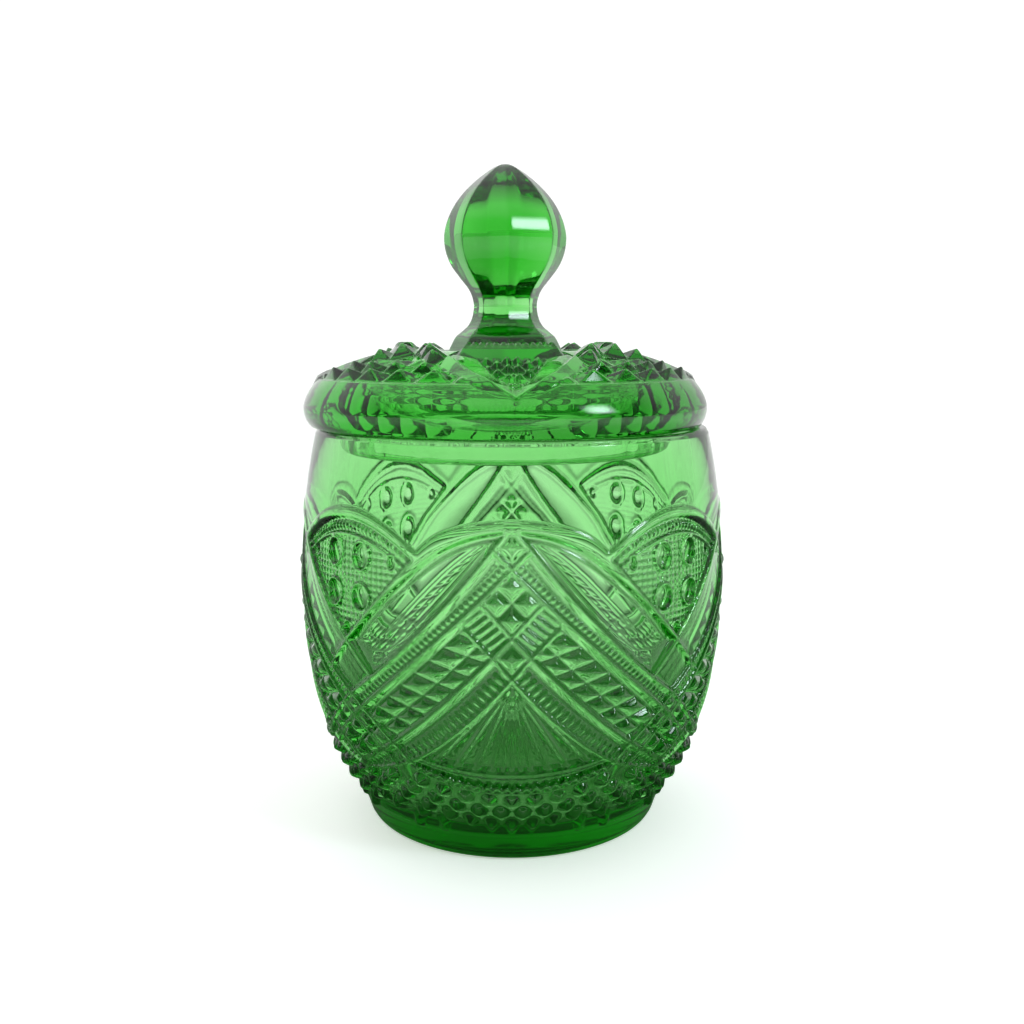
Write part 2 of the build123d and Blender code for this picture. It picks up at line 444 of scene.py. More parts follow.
def leaves(h, t, z, upper_ridge, rib, next_rib):
    """Long hollow leaves between an arch's rib and its leg, flat where the next rib crosses."""
    low = np.where(t > LEAF_END + 0.5, np.maximum(upper_ridge, next_rib), upper_ridge)
    leaf = np.clip(share(z, low, rib), 0, 1)
    hollow = LEAF_EDGE - LEAF_DEPTH * np.sin(math.pi * leaf) ** 0.8
    h = np.where((z < rib) & (z > upper_ridge), hollow, h)
    return np.where((z < next_rib) & (z > upper_ridge) & (t > LEAF_END), LEAF_STOP, h)


def ribs(h, t, z, upper_ridge, rib, next_rib):
    """The plain ribs over the arches, each with a shallow trench below."""
    over_leaf = z > upper_ridge
    width = RIB_HALF + RIB_SWELL * ease(4, 14, t) - RIB_TAPER * ease(20, 34, t)
    off = (z - rib) * (1 - RIB_LEAN * ease(6, 20, t))
    crest = np.sqrt(bar(off, width))
    h = h + (RIB_PROUD - h) * crest * ((z > upper_ridge - 0.5) | (t < 9))
    trench = bar(off + width + TRENCH_OFF, TRENCH_HALF) * ease(1, 4, t)
    h = h - TRENCH_DEPTH * trench * over_leaf * (t < TRENCH_END)
    next_crest = np.sqrt(bar((z - next_rib) * NEXT_RIB_SLOPE_SHARE, NEXT_RIB_HALF))
    return h + (NEXT_RIB_PROUD - h) * next_crest * (t > LEAF_END) * (z > upper_ridge - 0.4)


def jar_relief(angle, z):
    """Height of the jar's pressed pattern over its side; angle in degrees from the front."""
    t = np.abs((angle + LEG_TURNS_AT) % 90 - LEG_TURNS_AT)
    own = [leg_line(k, t) for k in range(4)]
    mirrored = [leg_line(k, -t) for k in range(4)]
    next_leg = [leg_line(k, 90 - t) for k in range(4)]
    rib = rib_line(t)
    next_rib = rib_line(90 - t)
    # plain upper wall, with the shields in it
    in_shield = (z > rib) & (z <= shield_edge(LEG_TURNS_AT - t))
    h = np.where(in_shield, shield_pattern(t, z), 0.0)
    h = leaves(h, t, z, own[0], rib, next_rib)
    # the crossing legs
    at_centre = leg_pattern(t, z, own, mirrored, True)
    at_side = leg_pattern(t, z, own, next_leg, False)
    legs = np.where(t < LEG_TURNS_AT / 2, at_centre, at_side)
    in_legs = (z < own[0] + LEG_EDGE) & (z > own[3] - LEG_EDGE)
    h = np.where(in_legs, np.where(z > own[0], np.maximum(h, legs), legs), h)
    # fan, sill and hobnails below the legs
    below = z < own[3] - LEG_EDGE
    h = np.where(below & (t < FAN_HALF), fan_pattern(t, z), h)
    h = np.where(below & (t >= FAN_HALF), VALLEY, h)
    nails_below = np.where(t < SILL_HALF, bowed(LEDGE, t) - LEDGE_END, own[3])
    bed = VALLEY * ease(NAIL_BED_FROM, NAIL_BED_FULL, z)
    nailed = bed + (NAIL_TOP - VALLEY) * nails(t, z)
    h = np.where((z < nails_below) & (z > FOOT_TOP), nailed, h)
    h = np.where(z <= FOOT_TOP, 0, h)
    return ribs(h, t, z, own[0], rib, next_rib)


def soften(h, times):
    """Rounds relief a little, as fire polishing does. Rows go up the side, columns all round."""
    for _ in range(times):
        h = (np.roll(h, 1, 1) + 2 * h + np.roll(h, -1, 1)) / 4
        up = np.concatenate([h[:1], h[:-1]])
        down = np.concatenate([h[1:], h[-1:]])
        h = (up + 2 * h + down) / 4
    return h


# ---------------------------------------------------------------- meshes of rings
class Skin:
    """A closed surface round the upright axis: a point, rings joined in order, and a point."""

    def __init__(self):
        self.points = []
        self.faces = []
        self.count = 0
        self.last = None

    def point(self, z):
        """Starts or closes the surface with a single point on the axis."""
        self.points.append(np.array([[0.0, 0.0, z]]))
        tip = np.full(1, self.count)
        self.count += 1
        if self.last is not None:
            self.join(self.last, tip)
        self.last = tip

    def rings(self, r, z, angle):
        """Adds rings: r and z hold a row for each ring and a column for each angle in radians."""
        rows, columns = r.shape
        x = r * np.sin(angle)
        y = -r * np.cos(angle)
        self.points.append(np.stack([x, y, z], -1).reshape(-1, 3))
        index = self.count + np.arange(rows * columns).reshape(rows, columns)
        self.count += rows * columns
        for ring in index:
            self.join(self.last, ring)
            self.last = ring

    def join(self, a, b):
        """Joins two rings, whose numbers of points may differ by a whole factor, or be one."""
        if len(a) == 1 or len(b) == 1:
            ring, tip, turn = (b, a, -1) if len(a) == 1 else (a, b, 1)
            face = np.stack([ring, np.roll(ring, -1), np.broadcast_to(tip, ring.shape)], -1)
            self.faces.append(face[:, ::turn])
        elif len(a) == len(b):
            self.faces.append(np.stack([a, np.roll(a, -1), np.roll(b, -1), b], -1))
        else:
            many, few = (a, b) if len(a) > len(b) else (b, a)
            k = len(many) // len(few)
            parts = [np.roll(many, -i)[::k] for i in range(k + 1)]
            face = np.stack(parts + [np.roll(few, -1), few], -1)
            self.faces.append(face if many is a else face[:, ::-1])

    def outward(self, co):
        """Turns every face to look outwards, judged by the sign of the enclosed volume."""
        volume = 0.0
        for f in self.faces:
            a = co[f[:, 0]]
            for k in range(1, f.shape[1] - 1):
                volume += np.einsum("ij,ij->", a, np.cross(co[f[:, k]], co[f[:, k + 1]]))
        if volume < 0:
            self.faces = [f[:, ::-1] for f in self.faces]

    def mesh(self, name):
        co = np.concatenate(self.points) * MM
        self.outward(co)
        co[:, 2] += jar_low.z
        sizes = np.concatenate([np.full(len(f), f.shape[1]) for f in self.faces])
        starts = np.concatenate([[0], np.cumsum(sizes)[:-1]])
        loops = np.concatenate([f.reshape(-1) for f in self.faces])
        mesh = bpy.data.meshes.new(name)
        mesh.vertices.add(len(co))
        mesh.vertices.foreach_set("co", co.astype(np.float32).reshape(-1))
        mesh.loops.add(len(loops))
        mesh.loops.foreach_set("vertex_index", loops.astype(np.int32))
        mesh.polygons.add(len(sizes))
        mesh.polygons.foreach_set("loop_start", starts.astype(np.int32))
        mesh.polygons.foreach_set("use_smooth", np.ones(len(sizes), bool))
        mesh.update(calc_edges=True)
        mesh.validate()
        return linked(name, mesh)


def linked(name, data):
    """A new object in the scene."""
    ob = bpy.data.objects.new(name, data)
    bpy.context.scene.collection.objects.link(ob)
    return ob


def circle(columns):
    return np.arange(columns) * 2 * math.pi / columns


def all_round(profile, columns):
    """Radius and height of every point of the rings through a profile of (radius, height)."""
    p = np.asarray(profile, float)
    return np.repeat(p[:, :1], columns, 1), np.repeat(p[:, 1:], columns, 1)


def curve(points, count):
    """Smooth curve through profile points, evenly split; Catmull-Rom."""
    p = np.array(points, float)
    p = np.concatenate([[2 * p[0] - p[1]], p, [2 * p[-1] - p[-2]]])
    u = np.linspace(0, 1, 24, endpoint=False)[:, None]
    pieces = []
    for i in range(1, len(p) - 2):
        a, b, c, d = p[i - 1 : i + 3]
        linear = (c - a) * u
        square = (2 * a - 5 * b + 4 * c - d) * u**2
        cubic = (3 * b - a - 3 * c + d) * u**3
        pieces.append(0.5 * (2 * b + linear + square + cubic))
    pieces.append(p[-2:-1])
    q = np.concatenate(pieces)
    length = np.concatenate([[0], np.cumsum(np.hypot(*np.diff(q, axis=0).T))])
    s = np.linspace(0, length[-1], count)
    return np.stack([np.interp(s, length, q[:, 0]), np.interp(s, length, q[:, 1])], -1)


# ---------------------------------------------------------------- the jar
AXIS_RING = 1.0  # radius of the smallest ring round a point on the axis
RECESS_Z = 1.2
RECESS_EDGE = 31.5
FLOOR_Z = 9.0
WALL_START = 15.6  # the side is the barrel's curve from here up
RIM_ROUND = 1.2  # height of the rim's rounded edge

FOOT_RING = (
    (RECESS_EDGE, RECESS_Z), (32.6, 0.95), (33.4, 0.35), (34.6, 0.03), (36.8, 0.0), (38.6, 0.12),
    (39.9, 0.8), (40.8, 2.2),
)
FOOT_SIDE = (
    (40.8, 2.2), (41.5, 4.4), (42.4, 6.8), (43.3, 8.4), (44.6, 10.2), (45.9, 12.0), (47.1, 13.6),
    (side(WALL_START), WALL_START),
)
RIM_OUTSIDE = (
    (barrel(RIM_Z), RIM_Z - RIM_ROUND),
    (barrel(RIM_Z) - 0.25, RIM_Z - 0.35),
    (barrel(RIM_Z) - 1.0, RIM_Z - 0.02),
    (barrel(RIM_Z) - 1.6, RIM_Z),
)
RIM_INSIDE = ((49.9, RIM_Z), (49.3, RIM_Z - 0.15), (48.95, RIM_Z - 0.9), (49.1, RIM_Z - 3))
HOLLOW = (
    (49.1, RIM_Z - 3), (50.6, 90), (51.6, BELLY_Z), (50.6, 50), (47.3, 32), (43.6, 21.5),
    (40.0, 14.5), (35.5, 10.6), (28, 9.1), (14, FLOOR_Z), (AXIS_RING, FLOOR_Z),
)

SOFT_FROM, SOFT_FULL = 100, 128  # degrees from the front
SOFT_TIMES = 8
SOFT_GAIN = 1.75


def jar_outside(skin, around):
    """Foot and patterned side, up to the rim's rounded edge."""
    foot_r, foot_z = all_round(curve(FOOT_SIDE, 52)[1:], JAR_COLUMNS)
    rows = int(round((RIM_Z - RIM_ROUND - WALL_START) / ROW_STEP))
    levels = np.linspace(WALL_START, RIM_Z - RIM_ROUND, rows + 1)[1:, None]
    wall_z = np.repeat(levels, JAR_COLUMNS, 1)
    z = np.concatenate([foot_z, wall_z])
    r = np.concatenate([foot_r, side(wall_z)])
    relief = soften(jar_relief(np.degrees(around)[None, :] + 0 * z, z), 1)
    # the far side of the mould pressed softer
    from_front = np.degrees(np.minimum(around, 2 * math.pi - around))[None, :]
    soft = ease(SOFT_FROM, SOFT_FULL, from_front)
    relief = relief * (1 - soft) + SOFT_GAIN * soften(relief, SOFT_TIMES) * soft
    # the pattern stands off at right angles to the side
    slope = np.arctan(np.gradient(r[:, 0], z[:, 0]))[:, None]
    skin.rings(r + relief * np.cos(slope), z - relief * np.sin(slope) * 0.9, around)


def jar_inside(skin, inner):
    """Mouth, wall and floor; the plunger leaves the wall very slightly wavy."""
    p = np.concatenate([curve(RIM_INSIDE, 8), curve(HOLLOW, 190)[1:]])
    r, z = all_round(p, len(inner))
    slow = 0.03 * np.sin(5 * inner[None, :] + z * 0.11)
    quick = 0.015 * np.sin(9 * inner[None, :] - z * 0.17 + 1.3)
    kept = ease(RIM_Z - 2, RIM_Z - 12, z) * ease(9, 25, z)
    skin.rings(r + (slow + quick) * kept, z, inner)


def build_jar():
    skin = Skin()
    around = circle(JAR_COLUMNS)
    inner = circle(JAR_COLUMNS // INNER_SHARE)
    skin.point(RECESS_Z)
    recess = [(r, RECESS_Z) for r in np.linspace(AXIS_RING, RECESS_EDGE, 12)]
    skin.rings(*all_round(recess, len(inner)), inner)
    skin.rings(*all_round(curve(FOOT_RING, 24)[1:], len(inner)), inner)
    jar_outside(skin, around)
    skin.rings(*all_round(curve(RIM_OUTSIDE, 8)[1:], JAR_COLUMNS), around)
    jar_inside(skin, inner)
    skin.point(FLOOR_Z)
    return skin.mesh("glass_jar")


# ---------------------------------------------------------------- the lid's cut pattern
# Four Vs with a panel of small points in each, and rows of large points between them. s is the
# length along the lid's outline from the Vs' tips inwards, r the radius and t the angle in
# degrees from the nearest V's centre line, never negative.
V_TIP_Z = 118.0  # down on the band
SEAM_TALL, SEAM_HALF = 0.13, 0.45
V_END = 25.2  # degrees from a V's centre line to the cut ends of its bars
BED = -0.35  # ground of the pattern
POINT_ANGLE = 11.2  # degrees from one large point to the next
# rows of large points: place along s, half of its width, height, and 0.5 for a point at 45 degrees
POINT_ROWS = ((7.3, 2.5, 2.9, 0.5), (11.6, 2.4, 3.0, 0.0), (16.0, 2.5, 1.4, 0.5))
POINTS_FROM, POINTS_FULL, POINTS_END = 4.4, 4.9, 18.5  # along s
# peaks where the bars of neighbouring Vs meet: angle, radius, size and height
PEAKS = ((30.4, 37.4, 4.6, 3.0), (36.6, 33.2, 5.0, 3.1), (45, 29.6, 5.0, 2.2))
# edges of a V's bar and panel, as (start, slope, bend) over the distance from its centre line
BAR_OUTSIDE = (0.0, 0.08, 0.0353)
BAR_INSIDE = (0.0, 0.62, 0.044)
PANEL_EDGE = (3.7, 0.6, 0.19)
PANEL_RADIUS = 32.9  # the panel ends here, towards the finial
PANEL_STEP = 5.0
PANEL_GROUND, PANEL_TALL = -2.0, 2.5
FRAME_TOP, FRAME_FALL = 0.35, 1.35

# the ridge at a panel's head: ground, height, radii between which it stands with the widths of
# its two slopes, and its end in degrees; then the scallops on it
HEAD_GROUND, HEAD_TALL = -1.2, 2.3
HEAD_INSIDE, HEAD_OUTSIDE = 25.4, 33.4
HEAD_SLOPE_IN, HEAD_SLOPE_OUT = 1.6, 3.6
HEAD_END, HEAD_END_SLOPE = 27.5, 4.5
HEAD_BED_INSIDE, HEAD_BED_END = 24.5, 28
SCALLOP = 3.6  # degrees
SCALLOP_TALL, SCALLOP_HALF = 1.0, 1.5
SCALLOP_RADIUS = 28.4

BAR_LOW, BAR_RISE = 0.45, 0.85  # height along its outside, and rise across it
BAR_EDGE = 0.35  # width of the bar's slanting sides


def v_edge(edge, x):
    start, slope, bend = edge
    return start + slope * x + bend * x**2


def off_edge(edge, x, s):
    """Distance from a V's edge, at right angles to it."""
    _, slope, bend = edge
    return (s - v_edge(edge, x)) / np.sqrt(1 + (slope + 2 * bend * x) ** 2)


def large_points(t, r, s):
    """Rows of large four-sided points, each half a point to the side of the last, and peaks."""
    h = np.full_like(r, BED)
    for row, half, tall, shift in POINT_ROWS:
        near = np.clip(1 - np.abs(s - row) / half, 0, 1)
        h = np.maximum(h, BED + tall * np.minimum(near, tooth((45 - t) / POINT_ANGLE + shift)))
    h = np.where(s > POINTS_END, BED, h) * ease(POINTS_FROM, POINTS_FULL, s)
    for at, radius, size, top in PEAKS:
        across = (t - at) * math.radians(radius)
        along = r - radius
        far = np.maximum(np.abs(across + along), np.abs(across - along))
        peak = np.clip(1 - far / size, 0, 1)
        h = np.where(peak > 0, np.maximum(h, BED + (top - BED) * peak), h)
    return h


def v_panel(h, t, r, s, x):
    """Inside a V: flat frames sloping down to a panel of small points, and a scalloped head."""
    inner, edge = v_edge(BAR_INSIDE, x), v_edge(PANEL_EDGE, x)
    depth = np.clip((s - inner) / np.maximum(edge - inner, 0.4), 0, 1)
    h = np.where((s > inner) & (t < V_END), FRAME_TOP - FRAME_FALL * depth, h)
    u = x / PANEL_STEP
    v = r * np.cos(np.radians(t)) / PANEL_STEP
    diamond = np.minimum(tooth(u + v + 0.25), tooth(u - v + 0.25))
    panel = (s > edge) & (r > PANEL_RADIUS) & (t < V_END)
    h = np.where(panel, PANEL_GROUND + PANEL_TALL * diamond, h)
    inward = np.clip((r - HEAD_INSIDE) / HEAD_SLOPE_IN, 0, 1)
    outward = np.clip((HEAD_OUTSIDE - r) / HEAD_SLOPE_OUT, 0, 1)
    ends = np.clip((HEAD_END - t) / HEAD_END_SLOPE, 0, 1)
    scallop = np.sqrt(np.abs(np.cos(math.pi * t / SCALLOP)))
    scallop = scallop * ease(23.5, 22, t) * bar(r - SCALLOP_RADIUS, SCALLOP_HALF)
    head = HEAD_GROUND + HEAD_TALL * inward * outward * ends + SCALLOP_TALL * scallop
    at_head = (r < HEAD_OUTSIDE) & (r > HEAD_BED_INSIDE) & (t < HEAD_BED_END)
    return np.where(at_head, head, h)


def v_bars(h, t, r, s, x):
    """The flat bars of a V, which rise towards its inside and end in a straight cut."""
    out = off_edge(BAR_OUTSIDE, x, s)
    back = -off_edge(BAR_INSIDE, x, s)
    end = np.radians(V_END - t) * r
    flat = np.clip(np.minimum(out, end) / BAR_EDGE, 0, 1) * np.clip((back + 0.45) / 0.7, 0, 1)
    slant = np.clip(out / np.maximum(out + back, 0.3), 0, 1)
    height = (BAR_LOW + BAR_RISE * slant) * ease(0.5, 7.0, s)
    return np.where(flat > 0, h + (height - h) * flat, h)


def lid_relief(angle, r, s):
    """Height of the lid's cut pattern; angle in degrees from the lid's front."""
    t = np.abs((angle + 45) % 90 - 45)
    x = r * np.sin(np.radians(t))
    h = large_points(t, r, s)
    h = v_panel(h, t, r, s, x)
    h = v_bars(h, t, r, s, x)
    # fine mould seam on the band under the tip
    seam = bar(x, SEAM_HALF) * ease(-0.6, -1.6, s) * ease(-9.5, -8.5, s)
    return h * ease(-0.25, 0.25, s) + SEAM_TALL * seam


# ---------------------------------------------------------------- the lid
FACETS = 8
FACET_ANGLE = 2 * math.pi / FACETS
CORNER_SHARPNESS = 60
FACETS_FULL, FACETS_END = 15.0, 21.0  # radii on the dome, under the finial
RELIEF_FROM, RELIEF_FULL = 16.5, 22  # radii between which the cut pattern starts

# outlines as (radius, height), from the finial's tip down to the band's lower edge
FINIAL_ROOT = (14.9, 129.8)
DOME_EDGE = (50.3, 121.5)
FINIAL = (
    (0.0, 177.8), (2.0, 177.3), (4.4, 176.0), (8.1, 173.2), (11.3, 170.1), (13.7, 166.9),
    (15.4, 163.5), (16.3, 160.4), (16.5, 157.9), (16.0, 154.6), (14.6, 151.2), (12.3, 148.0),
    (9.9, 144.9), (8.8, 142.2), (8.6, 139.8), (9.2, 137.0), (10.3, 135.1), (12.0, 133.6),
    (13.4, 132.4), (14.2, 131.2), FINIAL_ROOT,
)
DOME = (
    FINIAL_ROOT, (15.6, 128.4), (16.8, 127.7), (19.0, 127.7), (23.0, 128.4), (27.0, 129.0),
    (31.6, 128.2), (37.2, 126.6), (42.2, 124.7), (46.2, 123.0), DOME_EDGE,
)
BAND = (
    DOME_EDGE, (51.6, 120.2), (52.8, 118.7), (54.0, 116.6), (54.75, 114.3), (54.7, 112.2),
    (54.1, 110.3), (53.2, 108.95),
)
SEAT_Z = RIM_Z + SEAT_GAP
SEAT = ((52.7, SEAT_Z + 0.05), (52.35, SEAT_Z + 0.025), (52.0, SEAT_Z))
VAULT_TOP = 123.4
UNDERSIDE = (
    (46.5, SEAT_Z), (45.9, SEAT_Z - 0.5), (45.7, RIM_Z - 3.5), (45.4, FLANGE_END + 0.9),
    (44.8, FLANGE_END + 0.1), (43.7, FLANGE_END), (42.6, FLANGE_END + 0.35),
    (42.1, FLANGE_END + 1.5), (41.7, 109.5), (40.7, 111.8), (37.0, 115.9), (30.0, 119.3),
    (20.0, 122.0), (10.0, 123.2), (0.8, VAULT_TOP),
)
# waves round the flange's outer face: height, number all round, and start in radians
FLANGE_WAVES = ((0.16, 41, 0.0), (0.12, 67, 1.0), (0.1, 29, 2.0))


def facets(angle):
    """Eight-sided outline of corner radius 1, its corners slightly melted, one at the front."""
    total = np.zeros_like(angle)
    for k in range(FACETS):
        toward = np.clip(np.cos(angle - (k + 0.5) * FACET_ANGLE), 0, None)
        total = total + toward**CORNER_SHARPNESS
    apothem = math.cos(FACET_ANGLE / 2)
    return apothem * total ** (-1 / CORNER_SHARPNESS) * 2 ** (1 / CORNER_SHARPNESS)


def lid_outside(skin, around):
    """Dome and band with the cut pattern; the dome starts eight-sided under the finial."""
    p = np.concatenate([curve(DOME, 150)[1:], curve(BAND, 60)[1:]])
    r, z = all_round(p, LID_COLUMNS)
    step = np.hypot(np.gradient(p[:, 0]), np.gradient(p[:, 1]))
    length = np.cumsum(step[::-1])[::-1]
    length = length - np.interp(-V_TIP_Z, -p[:, 1], length)
    s = np.repeat(length[:, None], LID_COLUMNS, 1)
    relief = lid_relief(np.degrees(around)[None, :] + 0 * r, r, s)
    relief = soften(relief * ease(RELIEF_FROM, RELIEF_FULL, r), 1)
    normal_r = -np.gradient(p[:, 1])
    normal_z = np.gradient(p[:, 0])
    size = np.hypot(normal_r, normal_z)
    faceted = r * (1 + (facets(around)[None, :] - 1) * ease(FACETS_END, FACETS_FULL, r))
    out = relief * (normal_r / size)[:, None]
    up = relief * (normal_z / size)[:, None]
    skin.rings(faceted + out, z + up, around)


def lid_inside(skin, inner):
    """Flange and vault; the flange is a little uneven all round, as a loose plunger leaves it."""
    r, z = all_round(curve(UNDERSIDE, 150), len(inner))
    uneven = sum(tall * np.sin(count * inner + start) for tall, count, start in FLANGE_WAVES)
    outer_face = ease(44.9, 45.6, r) * ease(SEAT_Z + 0.2, SEAT_Z - 0.6, z)
    skin.rings(r + uneven[None, :] * outer_face, z, inner)


def build_lid():
    skin = Skin()
    around = circle(LID_COLUMNS)
    inner = circle(LID_COLUMNS // INNER_SHARE)
    skin.point(FINIAL[0][1])
    r, z = all_round(curve(FINIAL, 220)[1:], len(inner))
    skin.rings(r * facets(inner)[None, :], z, inner)
    lid_outside(skin, around)
    skin.rings(*all_round(SEAT, LID_COLUMNS), around)
    lid_inside(skin, inner)
    skin.point(VAULT_TOP)
    ob = skin.mesh("glass_lid")
    # the lid as it was set down on the rim
    middle = ((lid_low.x + lid_high.x) / 2, (lid_low.y + lid_high.y) / 2, 0)
    ob.data.transform(Matrix.Translation(middle) @ Matrix.Rotation(LID_TURN, 4, "Z"))
    return ob


# ---------------------------------------------------------------- node helpers
def new_node(tree, kind, **values):
    """Adds a node. A value names one of its settings, or an input with _ for each space."""
    node = tree.nodes.new(kind)
    for key, value in values.items():
        if hasattr(node, key):
            setattr(node, key, value)
        else:
            node.inputs[key.replace("_", " ")].default_value = value
    return node


def ramp(tree, source, start, end, low=0.0, high=1.0, kind="LINEAR"):
    """Maps source from start..end to low..high, held at both ends."""
    node = new_node(
        tree,
        "ShaderNodeMapRange",
        interpolation_type=kind,
        From_Min=start,
        From_Max=end,
        To_Min=low,
        To_Max=high,
    )
    tree.links.new(source, node.inputs["Value"])
    return node.outputs["Result"]


def maths(tree, operation, first, second=None):
    """One sum; first is an output, second an output, a number or nothing."""
    node = new_node(tree, "ShaderNodeMath", operation=operation)
    tree.links.new(first, node.inputs[0])
    if isinstance(second, float):
        node.inputs[1].default_value = second
    elif second is not None:
        tree.links.new(second, node.inputs[1])
    return node.outputs["Value"]


def parts_of(tree, vector):
    """The X, Y and Z outputs of a vector."""
    split = new_node(tree, "ShaderNodeSeparateXYZ")
    tree.links.new(vector, split.inputs["Vector"])
    return split.outputs


def pick(tree, chooser, when_0, when_1):
    """A number: the output when_0 where chooser is 0, the number when_1 where it is 1."""
    mix = new_node(tree, "ShaderNodeMix", B=when_1)
    tree.links.new(chooser, mix.inputs["Factor"])
    tree.links.new(when_0, mix.inputs["A"])
    return mix.outputs["Result"]


def tinted(tree, chooser, colour):
    """A colour: the given one where chooser is 0, white where it is 1."""
    mix = new_node(tree, "ShaderNodeMix", data_type="RGBA")
    first, second = [socket for socket in mix.inputs if socket.type == "RGBA"]
    first.default_value = colour
    second.default_value = (1, 1, 1, 1)
    tree.links.new(chooser, mix.inputs["Factor"])
    return next(socket for socket in mix.outputs if socket.type == "RGBA")


def camera_ray(tree):
    return new_node(tree, "ShaderNodeLightPath").outputs["Is Camera Ray"]


# ---------------------------------------------------------------- green pressed glass
def noise(tree, vector, scale, detail):
    node = new_node(tree, "ShaderNodeTexNoise", Scale=scale, Detail=detail)
    tree.links.new(vector, node.inputs["Vector"])
    return node.outputs["Fac"]


def green_glass():
    """Green soda glass: colour from absorption inside, faint mould texture and wear from noise."""
    material = bpy.data.materials.new("green_pressed_glass")
    material.use_nodes = True
    tree = material.node_tree
    tree.nodes.clear()
    link = tree.links.new
    out = new_node(tree, "ShaderNodeOutputMaterial")
    shader = new_node(
        tree,
        "ShaderNodeBsdfPrincipled",
        Base_Color=(0.97, 1.0, 0.97, 1),
        IOR=1.51,
        Transmission_Weight=1.0,
    )
    place = new_node(tree, "ShaderNodeTexCoord").outputs["Object"]
    # roughness: fire polish with duller patches, and a foot rubbed dull where it stands
    patches = ramp(tree, noise(tree, place, 60, 4), 0.42, 0.75, 0.0, 0.035)
    rubbed = ramp(tree, parts_of(tree, place)["Z"], 0.0, 0.0016, 0.22, 0.0)
    link(maths(tree, "ADD", patches, rubbed), shader.inputs["Roughness"])
    # bump: slow waves left by the mould
    bump = new_node(tree, "ShaderNodeBump", Strength=0.12, Distance=0.00025)
    link(noise(tree, place, 90, 3), bump.inputs["Height"])
    link(bump.outputs["Normal"], shader.inputs["Normal"])
    link(shader.outputs["BSDF"], out.inputs["Surface"])
    body = new_node(tree, "ShaderNodeVolumeAbsorption", Color=(0.09, 0.78, 0.02, 1), Density=114.0)
    link(body.outputs["Volume"], out.inputs["Volume"])
    return material


glass = green_glass()
jar = build_jar()
lid = build_lid()
for piece, body in ((jar, "jar"), (lid, "lid")):
    piece.data.materials.append(glass)
    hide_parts(body)
    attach(piece, body)

# ---------------------------------------------------------------- floor, light, camera
FLOOR_HALF = 6.0
FLOOR_DROP = 0.00005  # below the foot, so that the two don't share a plane
FLOOR_SEEN, FLOOR_GLOW = 0.93, 0.45
# painted shade on the table as the glass shows it: darkest by the jar, paler further off; it glows
# this much too
TABLE_SHADE_NEAR, TABLE_SHADE_FAR = 0.1, 0.62
# colour of the painted pool of light round the jar
PAINTED_POOL_GREEN = (0.45, 1.0, 0.42, 1)

WORLD_SEEN = 1.1
ROOM_DARK, ROOM_BRIGHT, ROOM_TOP = 0.27, 1.0, 0.85
ROOM_LEFT, ROOM_RIGHT = 1.17, 0.83
ROOM_GREEN = (0.3, 1.0, 0.35, 1)

WINDOW_PLACE = (0.95, -0.66, 0.72)
WINDOW_SIZE = (0.50, 0.60)
WINDOW_POWER = 13
WINDOW_FADE = (0.5, 0.05)  # from a pane's edge to its bright part, in panes off its middle
WINDOW_PEAK = 1.12
WINDOW_COLOUR = (0.80, 0.93, 1.0)
WINDOW_AIM = Vector((0, 0, 0.1))

CAMERA_DISTANCE = 0.3039  # from the jar's axis
CAMERA_HEIGHT = 0.1315
CAMERA_DIP = 0.1554  # radians below the horizontal
CAMERA_LENS = 38.67


def plain_floor():
    """Pale where the camera sees it; the glass refracts painted shade, a darker table darkest by
    the jar, and a painted green pool of light near the jar.
    """
    z = jar_low.z - FLOOR_DROP
    corners = [(x * FLOOR_HALF, y * FLOOR_HALF, z) for x, y in ((-1, -1), (1, -1), (1, 1), (-1, 1))]
    mesh = bpy.data.meshes.new("floor")
    mesh.from_pydata(corners, [], [(0, 1, 2, 3)])
    ob = linked("floor", mesh)
    material = bpy.data.materials.new("pale_floor")
    material.use_nodes = True
    tree = material.node_tree
    link = tree.links.new
    shader = tree.nodes["Principled BSDF"]
    shader.inputs["Roughness"].default_value = 0.9
    shader.inputs["Specular IOR Level"].default_value = 0.1
    place = new_node(tree, "ShaderNodeNewGeometry").outputs["Position"]
    reach = new_node(tree, "ShaderNodeVectorMath", operation="LENGTH")
    link(place, reach.inputs[0])
    distance = reach.outputs["Value"]
    seen = camera_ray(tree)
    # painted shade: to all rays but the camera's the table is darkest by the jar, and it glows as
    # brightly as it is pale
    painted_table_shade = ramp(tree, distance, 0.05, 0.5, TABLE_SHADE_NEAR, TABLE_SHADE_FAR, "SMOOTHSTEP")
    link(pick(tree, seen, painted_table_shade, FLOOR_SEEN), shader.inputs["Base Color"])
    link(pick(tree, seen, painted_table_shade, FLOOR_GLOW), shader.inputs["Emission Strength"])
    # painted pool of light: round the jar the table glows green, as if lit by light that came
    # through the glass
    painted_pool = ramp(tree, distance, 0.06, 0.22, kind="SMOOTHSTEP")
    white = maths(tree, "MAXIMUM", painted_pool, seen)
    link(tinted(tree, white, PAINTED_POOL_GREEN), shader.inputs["Emission Color"])
    mesh.materials.append(material)


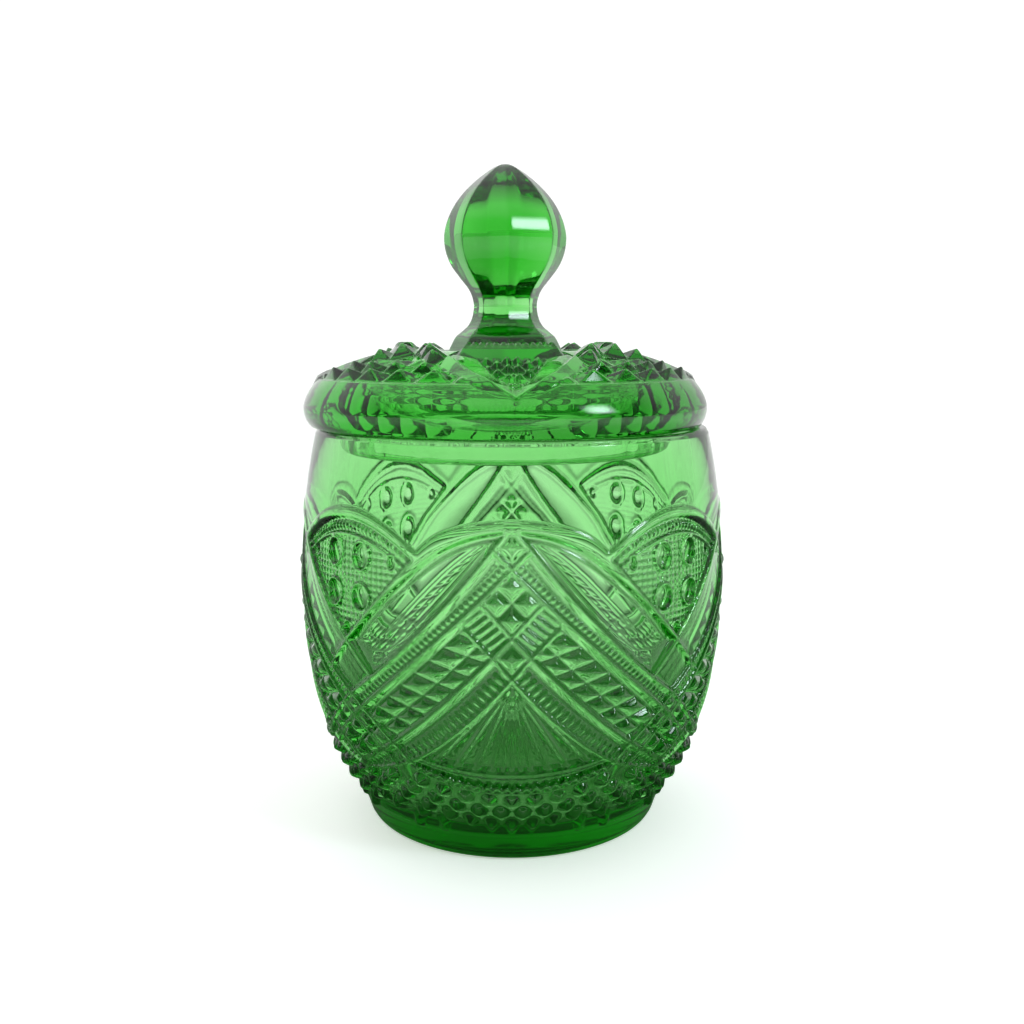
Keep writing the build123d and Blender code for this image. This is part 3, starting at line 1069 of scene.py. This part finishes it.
def studio():
    """World: bright behind and above, dim on the camera's side, so that thick glass shows dark."""
    world = bpy.data.worlds.new("studio")
    bpy.context.scene.world = world
    world.use_nodes = True
    tree = world.node_tree
    tree.nodes.clear()
    link = tree.links.new
    out = new_node(tree, "ShaderNodeOutputWorld")
    sky = new_node(tree, "ShaderNodeBackground")
    link(sky.outputs["Background"], out.inputs["Surface"])
    way = parts_of(tree, new_node(tree, "ShaderNodeTexCoord").outputs["Generated"])
    back = ramp(tree, way["Y"], -0.35, 0.45, ROOM_DARK, ROOM_BRIGHT, "SMOOTHSTEP")
    top = ramp(tree, way["Z"], 0.35, 0.85, 0.0, ROOM_TOP, "SMOOTHSTEP")
    across = ramp(tree, way["X"], -0.3, 0.26, ROOM_LEFT, ROOM_RIGHT, "SMOOTHSTEP")
    level = maths(tree, "MULTIPLY", maths(tree, "MAXIMUM", back, top), across)
    strength = pick(tree, camera_ray(tree), level, WORLD_SEEN)
    link(strength, sky.inputs["Strength"])
    # the dim side of the room takes the glass's own green
    white = ramp(tree, strength, 0.2, 0.6)
    link(tinted(tree, white, ROOM_GREEN), sky.inputs["Color"])


def window():
    """One pane of soft daylight facing the jar, brightest in its middle as behind thin curtains."""
    data = bpy.data.lights.new("window_right", "AREA")
    data.shape = "RECTANGLE"
    data.size, data.size_y = WINDOW_SIZE
    data.energy = WINDOW_POWER
    data.color = WINDOW_COLOUR
    data.use_nodes = True
    tree = data.node_tree
    pane = parts_of(tree, new_node(tree, "ShaderNodeNewGeometry").outputs["Parametric"])
    fades = []
    for axis in ("X", "Y"):
        off = maths(tree, "ABSOLUTE", maths(tree, "SUBTRACT", pane[axis], 0.5))
        fades.append(ramp(tree, off, *WINDOW_FADE, 0.0, WINDOW_PEAK, "SMOOTHSTEP"))
    strength = maths(tree, "MULTIPLY", fades[0], fades[1])
    tree.links.new(strength, tree.nodes["Emission"].inputs["Strength"])
    ob = linked("window_right", data)
    ob.location = WINDOW_PLACE
    look = WINDOW_AIM - ob.location
    ob.rotation_euler = look.to_track_quat("-Z", "Y").to_euler()


def place_camera():
    data = bpy.data.cameras.new("camera")
    data.sensor_width = 36.0
    data.lens = CAMERA_LENS
    camera = linked("camera", data)
    camera.location = (0.0, -CAMERA_DISTANCE, jar_low.z + CAMERA_HEIGHT)
    camera.rotation_euler = (math.pi / 2 - CAMERA_DIP, 0.0, 0.0)
    bpy.context.scene.camera = camera


plain_floor()
studio()
window()
place_camera()

scene = bpy.context.scene
scene.view_settings.view_transform = "Standard"
scene.cycles.max_bounces = 32
scene.cycles.transmission_bounces = 28
scene.cycles.glossy_bounces = 12
scene.cycles.diffuse_bounces = 4
scene.cycles.sample_clamp_indirect = 6.0
scene.cycles.use_denoising = True
